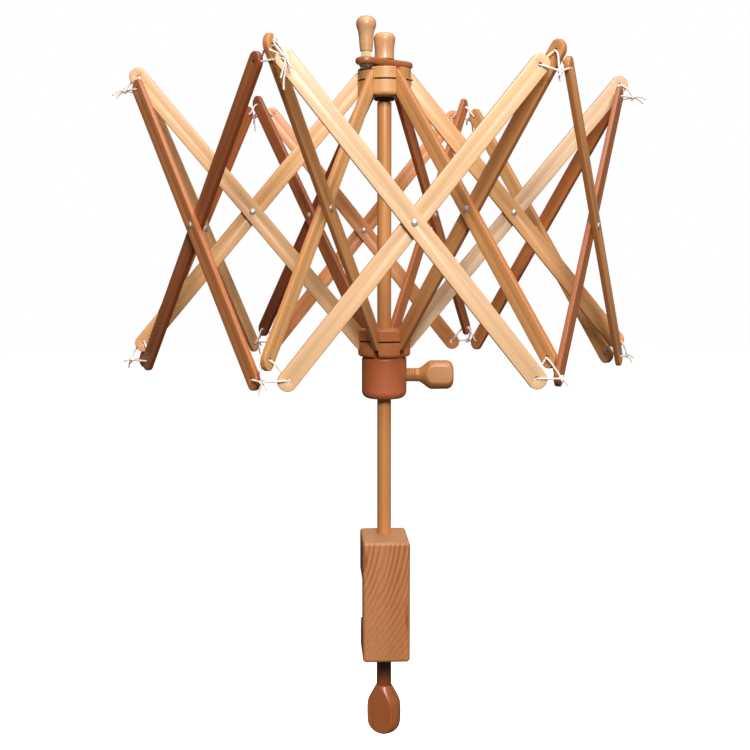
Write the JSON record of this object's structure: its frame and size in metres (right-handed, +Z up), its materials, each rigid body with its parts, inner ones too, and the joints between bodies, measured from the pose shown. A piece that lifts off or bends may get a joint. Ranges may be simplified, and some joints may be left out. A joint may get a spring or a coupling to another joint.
{
  "type": "yarn swift",
  "caption": "Table-clamp umbrella yarn swift: crossed wooden slats open round a rod to hold a skein, fold with a sliding collar and spin by a crank.",
  "frame": {"origin": "on the rod's axis, at the clamp face that rests on the table top", "axes": "+Z up the rod; +Y out of the clamp's jaw, over the table; +X along the collar's thumbscrew"},
  "size_m": [0.5388, 0.4816, 0.772],
  "materials": {
    "slat_beech": "oiled, satin",
    "block_beech": "oiled, satin",
    "turned_beech": "turned and oiled, satin",
    "rivet_steel": "polished domed heads",
    "wire": "dulled steel wire",
    "bolt_steel": "dark polished steel",
    "nut_brass": "bright brass",
    "bush": "dark steel",
    "shoe_leather": "plain",
    "cotton_string": "twisted cotton"
  },
  "bodies": {
    "stand": {"clamp_block": "block_beech", "centre_rod": "turned_beech", "hub_bush": "bush", "top_cap": "turned_beech"},
    "jaw_pad": {"jaw_pad": "turned_beech"},
    "clamp_screw": {"clamp_screw": "turned_beech"},
    "umbrella": {"upper_hub": "turned_beech", "upper_hub_wire": "wire", "crank_arm": "turned_beech", "handle_bolt": "bolt_steel", "handle_nut": "nut_brass"},
    "crank_handle": {"crank_handle": "turned_beech"},
    "falling_spoke_1": {"falling_spoke_1": "slat_beech", "spoke_rivet_1": "rivet_steel"},
    "rising_spoke_1": {"rising_spoke_1": "slat_beech"},
    "lower_hub": {"lower_hub": "turned_beech", "lower_hub_wire": "wire"},
    "collar": {"collar": "turned_beech"},
    "collar_shoe": {"collar_shoe": "shoe_leather"},
    "collar_screw": {"collar_screw": "turned_beech"},
    "top_tie_1": {"top_tie_1": "cotton_string"},
    "bottom_tie_1": {"bottom_tie_1": "cotton_string"},
    "outer_slat_1": {"outer_slat_1": "slat_beech"},
    "inner_slat_1": {"inner_slat_1": "slat_beech"},
    "falling_spoke_2": {"falling_spoke_2": "slat_beech", "spoke_rivet_2": "rivet_steel"},
    "rising_spoke_2": {"rising_spoke_2": "slat_beech"},
    "top_tie_2": {"top_tie_2": "cotton_string"},
    "bottom_tie_2": {"bottom_tie_2": "cotton_string"},
    "outer_slat_2": {"outer_slat_2": "slat_beech"},
    "inner_slat_2": {"inner_slat_2": "slat_beech"},
    "falling_spoke_3": {"falling_spoke_3": "slat_beech", "spoke_rivet_3": "rivet_steel"},
    "rising_spoke_3": {"rising_spoke_3": "slat_beech"},
    "top_tie_3": {"top_tie_3": "cotton_string"},
    "bottom_tie_3": {"bottom_tie_3": "cotton_string"},
    "outer_slat_3": {"outer_slat_3": "slat_beech"},
    "inner_slat_3": {"inner_slat_3": "slat_beech"},
    "falling_spoke_4": {"falling_spoke_4": "slat_beech", "spoke_rivet_4": "rivet_steel"},
    "rising_spoke_4": {"rising_spoke_4": "slat_beech"},
    "top_tie_4": {"top_tie_4": "cotton_string"},
    "bottom_tie_4": {"bottom_tie_4": "cotton_string"},
    "outer_slat_4": {"outer_slat_4": "slat_beech"},
    "inner_slat_4": {"inner_slat_4": "slat_beech"},
    "falling_spoke_5": {"falling_spoke_5": "slat_beech", "spoke_rivet_5": "rivet_steel"},
    "rising_spoke_5": {"rising_spoke_5": "slat_beech"},
    "top_tie_5": {"top_tie_5": "cotton_string"},
    "bottom_tie_5": {"bottom_tie_5": "cotton_string"},
    "outer_slat_5": {"outer_slat_5": "slat_beech"},
    "inner_slat_5": {"inner_slat_5": "slat_beech"},
    "falling_spoke_6": {"falling_spoke_6": "slat_beech", "spoke_rivet_6": "rivet_steel"},
    "rising_spoke_6": {"rising_spoke_6": "slat_beech"},
    "top_tie_6": {"top_tie_6": "cotton_string"},
    "bottom_tie_6": {"bottom_tie_6": "cotton_string"},
    "outer_slat_6": {"outer_slat_6": "slat_beech"},
    "inner_slat_6": {"inner_slat_6": "slat_beech"}
  },
  "joints": [
    {"name": "clamp_lift", "type": "slide", "parent": "stand", "child": "jaw_pad", "axis": [0, 0, 1], "range_m": [-0.009, 0.036]},
    {"name": "clamp_turn", "type": "hinge", "parent": "jaw_pad", "child": "clamp_screw", "pos_m": [0, 0, -0.042], "axis": [0, 0, 1], "range_deg": [-810, 3240]},
    {"name": "swift_spin", "type": "hinge", "parent": "stand", "child": "umbrella", "pos_m": [0, 0, 0.526], "axis": [0, 0, 1], "continuous": true},
    {"name": "handle_spin", "type": "hinge", "parent": "umbrella", "child": "crank_handle", "pos_m": [-0.0198, -0.01575, 0.57], "axis": [0, 0, 1], "continuous": true},
    {"name": "fold", "type": "hinge", "parent": "umbrella", "child": "falling_spoke_1", "pos_m": [0.02497, -0.00125, 0.526], "axis": [-0.0541, 0.9985, 0], "range_deg": [-20, 30]},
    {"name": "rising_spoke_1_cross", "type": "hinge", "parent": "falling_spoke_1", "child": "rising_spoke_1", "pos_m": [0.13876, 0.00751, 0.39003], "axis": [-0.0541, 0.9985, 0], "range_deg": [-60, 40]},
    {"name": "lower_hub_hinge", "type": "hinge", "parent": "rising_spoke_1", "child": "lower_hub", "pos_m": [0.02469, 0.00394, 0.25405], "axis": [-0.0541, 0.9985, 0], "range_deg": [-20, 30]},
    {"name": "collar_swivel", "type": "hinge", "parent": "lower_hub", "child": "collar", "pos_m": [0, 0, 0.23705], "axis": [0, 0, 1], "continuous": true},
    {"name": "thumbscrew_travel", "type": "slide", "parent": "collar", "child": "collar_shoe", "axis": [1, 0, 0], "range_m": [0, 0.0036]},
    {"name": "thumbscrew_turn", "type": "hinge", "parent": "collar_shoe", "child": "collar_screw", "pos_m": [0.01058, 0, 0.21705], "axis": [1, 0, 0], "range_deg": [0, 432]},
    {"name": "top_tie_1_level", "type": "hinge", "parent": "rising_spoke_1", "child": "top_tie_1", "pos_m": [0.25254, 0.01628, 0.526], "axis": [-0.0541, 0.9985, 0], "range_deg": [-20, 30], "deforming": ["top_tie_1"]},
    {"name": "bottom_tie_1_level", "type": "hinge", "parent": "falling_spoke_1", "child": "bottom_tie_1", "pos_m": [0.25282, 0.01109, 0.25405], "axis": [-0.0541, 0.9985, 0], "range_deg": [-30, 20], "deforming": ["bottom_tie_1"]},
    {"name": "outer_slat_1_swing", "type": "hinge", "parent": "top_tie_1", "child": "outer_slat_1", "pos_m": [0.25148, 0.03128, 0.5126], "axis": [0.8377, 0.5461, 0], "range_deg": [-30, 20]},
    {"name": "inner_slat_1_cross", "type": "hinge", "parent": "outer_slat_1", "child": "inner_slat_1", "pos_m": [0.18856, 0.12304, 0.37427], "axis": [0.8377, 0.5461, 0], "range_deg": [-40, 60]},
    {"name": "falling_spoke_2_fold", "type": "hinge", "parent": "umbrella", "child": "falling_spoke_2", "pos_m": [0.01357, 0.021, 0.526], "axis": [-0.8918, 0.4524, 0], "range_deg": [-20, 30]},
    {"name": "rising_spoke_2_cross", "type": "hinge", "parent": "falling_spoke_2", "child": "rising_spoke_2", "pos_m": [0.06287, 0.12392, 0.39003], "axis": [-0.8918, 0.4524, 0], "range_deg": [-60, 40]},
    {"name": "top_tie_2_level", "type": "hinge", "parent": "rising_spoke_2", "child": "top_tie_2", "pos_m": [0.11217, 0.22685, 0.526], "axis": [-0.8918, 0.4524, 0], "range_deg": [-20, 30], "deforming": ["top_tie_2"]},
    {"name": "bottom_tie_2_level", "type": "hinge", "parent": "falling_spoke_2", "child": "bottom_tie_2", "pos_m": [0.11681, 0.2245, 0.25405], "axis": [-0.8918, 0.4524, 0], "range_deg": [-30, 20], "deforming": ["bottom_tie_2"]},
    {"name": "outer_slat_2_swing", "type": "hinge", "parent": "top_tie_2", "child": "outer_slat_2", "pos_m": [0.09865, 0.23343, 0.5126], "axis": [-0.0541, 0.9985, 0], "range_deg": [-30, 20]},
    {"name": "inner_slat_2_cross", "type": "hinge", "parent": "outer_slat_2", "child": "inner_slat_2", "pos_m": [-0.01227, 0.22482, 0.37427], "axis": [-0.0541, 0.9985, 0], "range_deg": [-40, 60]},
    {"name": "falling_spoke_3_fold", "type": "hinge", "parent": "umbrella", "child": "falling_spoke_3", "pos_m": [-0.0114, 0.02225, 0.526], "axis": [-0.8377, -0.5461, 0], "range_deg": [-20, 30]},
    {"name": "rising_spoke_3_cross", "type": "hinge", "parent": "falling_spoke_3", "child": "rising_spoke_3", "pos_m": [-0.07589, 0.11641, 0.39003], "axis": [-0.8377, -0.5461, 0], "range_deg": [-60, 40]},
    {"name": "top_tie_3_level", "type": "hinge", "parent": "rising_spoke_3", "child": "top_tie_3", "pos_m": [-0.14037, 0.21057, 0.526], "axis": [-0.8377, -0.5461, 0], "range_deg": [-20, 30], "deforming": ["top_tie_3"]},
    {"name": "bottom_tie_3_level", "type": "hinge", "parent": "falling_spoke_3", "child": "bottom_tie_3", "pos_m": [-0.13602, 0.21341, 0.25405], "axis": [-0.8377, -0.5461, 0], "range_deg": [-30, 20], "deforming": ["bottom_tie_3"]},
    {"name": "outer_slat_3_swing", "type": "hinge", "parent": "top_tie_3", "child": "outer_slat_3", "pos_m": [-0.15283, 0.20215, 0.5126], "axis": [-0.8918, 0.4524, 0], "range_deg": [-30, 20]},
    {"name": "inner_slat_3_cross", "type": "hinge", "parent": "outer_slat_3", "child": "inner_slat_3", "pos_m": [-0.20083, 0.10178, 0.37427], "axis": [-0.8918, 0.4524, 0], "range_deg": [-40, 60]},
    {"name": "falling_spoke_4_fold", "type": "hinge", "parent": "umbrella", "child": "falling_spoke_4", "pos_m": [-0.02497, 0.00125, 0.526], "axis": [0.0541, -0.9985, 0], "range_deg": [-20, 30]},
    {"name": "rising_spoke_4_cross", "type": "hinge", "parent": "falling_spoke_4", "child": "rising_spoke_4", "pos_m": [-0.13876, -0.00751, 0.39003], "axis": [0.0541, -0.9985, 0], "range_deg": [-60, 40]},
    {"name": "top_tie_4_level", "type": "hinge", "parent": "rising_spoke_4", "child": "top_tie_4", "pos_m": [-0.25254, -0.01628, 0.526], "axis": [0.0541, -0.9985, 0], "range_deg": [-20, 30], "deforming": ["top_tie_4"]},
    {"name": "bottom_tie_4_level", "type": "hinge", "parent": "falling_spoke_4", "child": "bottom_tie_4", "pos_m": [-0.25282, -0.01109, 0.25405], "axis": [0.0541, -0.9985, 0], "range_deg": [-30, 20], "deforming": ["bottom_tie_4"]},
    {"name": "outer_slat_4_swing", "type": "hinge", "parent": "top_tie_4", "child": "outer_slat_4", "pos_m": [-0.25148, -0.03128, 0.5126], "axis": [-0.8377, -0.5461, 0], "range_deg": [-30, 20]},
    {"name": "inner_slat_4_cross", "type": "hinge", "parent": "outer_slat_4", "child": "inner_slat_4", "pos_m": [-0.18856, -0.12304, 0.37427], "axis": [-0.8377, -0.5461, 0], "range_deg": [-40, 60]},
    {"name": "falling_spoke_5_fold", "type": "hinge", "parent": "umbrella", "child": "falling_spoke_5", "pos_m": [-0.01357, -0.021, 0.526], "axis": [0.8918, -0.4524, 0], "range_deg": [-20, 30]},
    {"name": "rising_spoke_5_cross", "type": "hinge", "parent": "falling_spoke_5", "child": "rising_spoke_5", "pos_m": [-0.06287, -0.12392, 0.39003], "axis": [0.8918, -0.4524, 0], "range_deg": [-60, 40]},
    {"name": "top_tie_5_level", "type": "hinge", "parent": "rising_spoke_5", "child": "top_tie_5", "pos_m": [-0.11217, -0.22685, 0.526], "axis": [0.8918, -0.4524, 0], "range_deg": [-20, 30], "deforming": ["top_tie_5"]},
    {"name": "bottom_tie_5_level", "type": "hinge", "parent": "falling_spoke_5", "child": "bottom_tie_5", "pos_m": [-0.11681, -0.2245, 0.25405], "axis": [0.8918, -0.4524, 0], "range_deg": [-30, 20], "deforming": ["bottom_tie_5"]},
    {"name": "outer_slat_5_swing", "type": "hinge", "parent": "top_tie_5", "child": "outer_slat_5", "pos_m": [-0.09865, -0.23343, 0.5126], "axis": [0.0541, -0.9985, 0], "range_deg": [-30, 20]},
    {"name": "inner_slat_5_cross", "type": "hinge", "parent": "outer_slat_5", "child": "inner_slat_5", "pos_m": [0.01227, -0.22482, 0.37427], "axis": [0.0541, -0.9985, 0], "range_deg": [-40, 60]},
    {"name": "falling_spoke_6_fold", "type": "hinge", "parent": "umbrella", "child": "falling_spoke_6", "pos_m": [0.0114, -0.02225, 0.526], "axis": [0.8377, 0.5461, 0], "range_deg": [-20, 30]},
    {"name": "rising_spoke_6_cross", "type": "hinge", "parent": "falling_spoke_6", "child": "rising_spoke_6", "pos_m": [0.07589, -0.11641, 0.39003], "axis": [0.8377, 0.5461, 0], "range_deg": [-60, 40]},
    {"name": "top_tie_6_level", "type": "hinge", "parent": "rising_spoke_6", "child": "top_tie_6", "pos_m": [0.14037, -0.21057, 0.526], "axis": [0.8377, 0.5461, 0], "range_deg": [-20, 30], "deforming": ["top_tie_6"]},
    {"name": "bottom_tie_6_level", "type": "hinge", "parent": "falling_spoke_6", "child": "bottom_tie_6", "pos_m": [0.13602, -0.21341, 0.25405], "axis": [0.8377, 0.5461, 0], "range_deg": [-30, 20], "deforming": ["bottom_tie_6"]},
    {"name": "outer_slat_6_swing", "type": "hinge", "parent": "top_tie_6", "child": "outer_slat_6", "pos_m": [0.15283, -0.20215, 0.5126], "axis": [0.8918, -0.4524, 0], "range_deg": [-30, 20]},
    {"name": "inner_slat_6_cross", "type": "hinge", "parent": "outer_slat_6", "child": "inner_slat_6", "pos_m": [0.20083, -0.10178, 0.37427], "axis": [0.8918, -0.4524, 0], "range_deg": [-40, 60]}
  ],
  "couplings": [
    {"joint": "clamp_turn", "follows": "clamp_lift", "rad_per_m": 1570.8},
    {"joint": "rising_spoke_1_cross", "follows": "fold", "ratio": -2},
    {"joint": "lower_hub_hinge", "follows": "fold", "ratio": 1},
    {"joint": "collar_swivel", "follows": "swift_spin", "ratio": -1},
    {"joint": "thumbscrew_turn", "follows": "thumbscrew_travel", "rad_per_m": 2094.4},
    {"joint": "top_tie_1_level", "follows": "fold", "ratio": 1},
    {"joint": "bottom_tie_1_level", "follows": "fold", "ratio": -1},
    {"joint": "outer_slat_1_swing", "follows": "fold", "ratio": -1},
    {"joint": "inner_slat_1_cross", "follows": "fold", "ratio": 2},
    {"joint": "falling_spoke_2_fold", "follows": "fold", "ratio": 1},
    {"joint": "rising_spoke_2_cross", "follows": "fold", "ratio": -2},
    {"joint": "top_tie_2_level", "follows": "fold", "ratio": 1},
    {"joint": "bottom_tie_2_level", "follows": "fold", "ratio": -1},
    {"joint": "outer_slat_2_swing", "follows": "fold", "ratio": -1},
    {"joint": "inner_slat_2_cross", "follows": "fold", "ratio": 2},
    {"joint": "falling_spoke_3_fold", "follows": "fold", "ratio": 1},
    {"joint": "rising_spoke_3_cross", "follows": "fold", "ratio": -2},
    {"joint": "top_tie_3_level", "follows": "fold", "ratio": 1},
    {"joint": "bottom_tie_3_level", "follows": "fold", "ratio": -1},
    {"joint": "outer_slat_3_swing", "follows": "fold", "ratio": -1},
    {"joint": "inner_slat_3_cross", "follows": "fold", "ratio": 2},
    {"joint": "falling_spoke_4_fold", "follows": "fold", "ratio": 1},
    {"joint": "rising_spoke_4_cross", "follows": "fold", "ratio": -2},
    {"joint": "top_tie_4_level", "follows": "fold", "ratio": 1},
    {"joint": "bottom_tie_4_level", "follows": "fold", "ratio": -1},
    {"joint": "outer_slat_4_swing", "follows": "fold", "ratio": -1},
    {"joint": "inner_slat_4_cross", "follows": "fold", "ratio": 2},
    {"joint": "falling_spoke_5_fold", "follows": "fold", "ratio": 1},
    {"joint": "rising_spoke_5_cross", "follows": "fold", "ratio": -2},
    {"joint": "top_tie_5_level", "follows": "fold", "ratio": 1},
    {"joint": "bottom_tie_5_level", "follows": "fold", "ratio": -1},
    {"joint": "outer_slat_5_swing", "follows": "fold", "ratio": -1},
    {"joint": "inner_slat_5_cross", "follows": "fold", "ratio": 2},
    {"joint": "falling_spoke_6_fold", "follows": "fold", "ratio": 1},
    {"joint": "rising_spoke_6_cross", "follows": "fold", "ratio": -2},
    {"joint": "top_tie_6_level", "follows": "fold", "ratio": 1},
    {"joint": "bottom_tie_6_level", "follows": "fold", "ratio": -1},
    {"joint": "outer_slat_6_swing", "follows": "fold", "ratio": -1},
    {"joint": "inner_slat_6_cross", "follows": "fold", "ratio": 2}
  ]
}
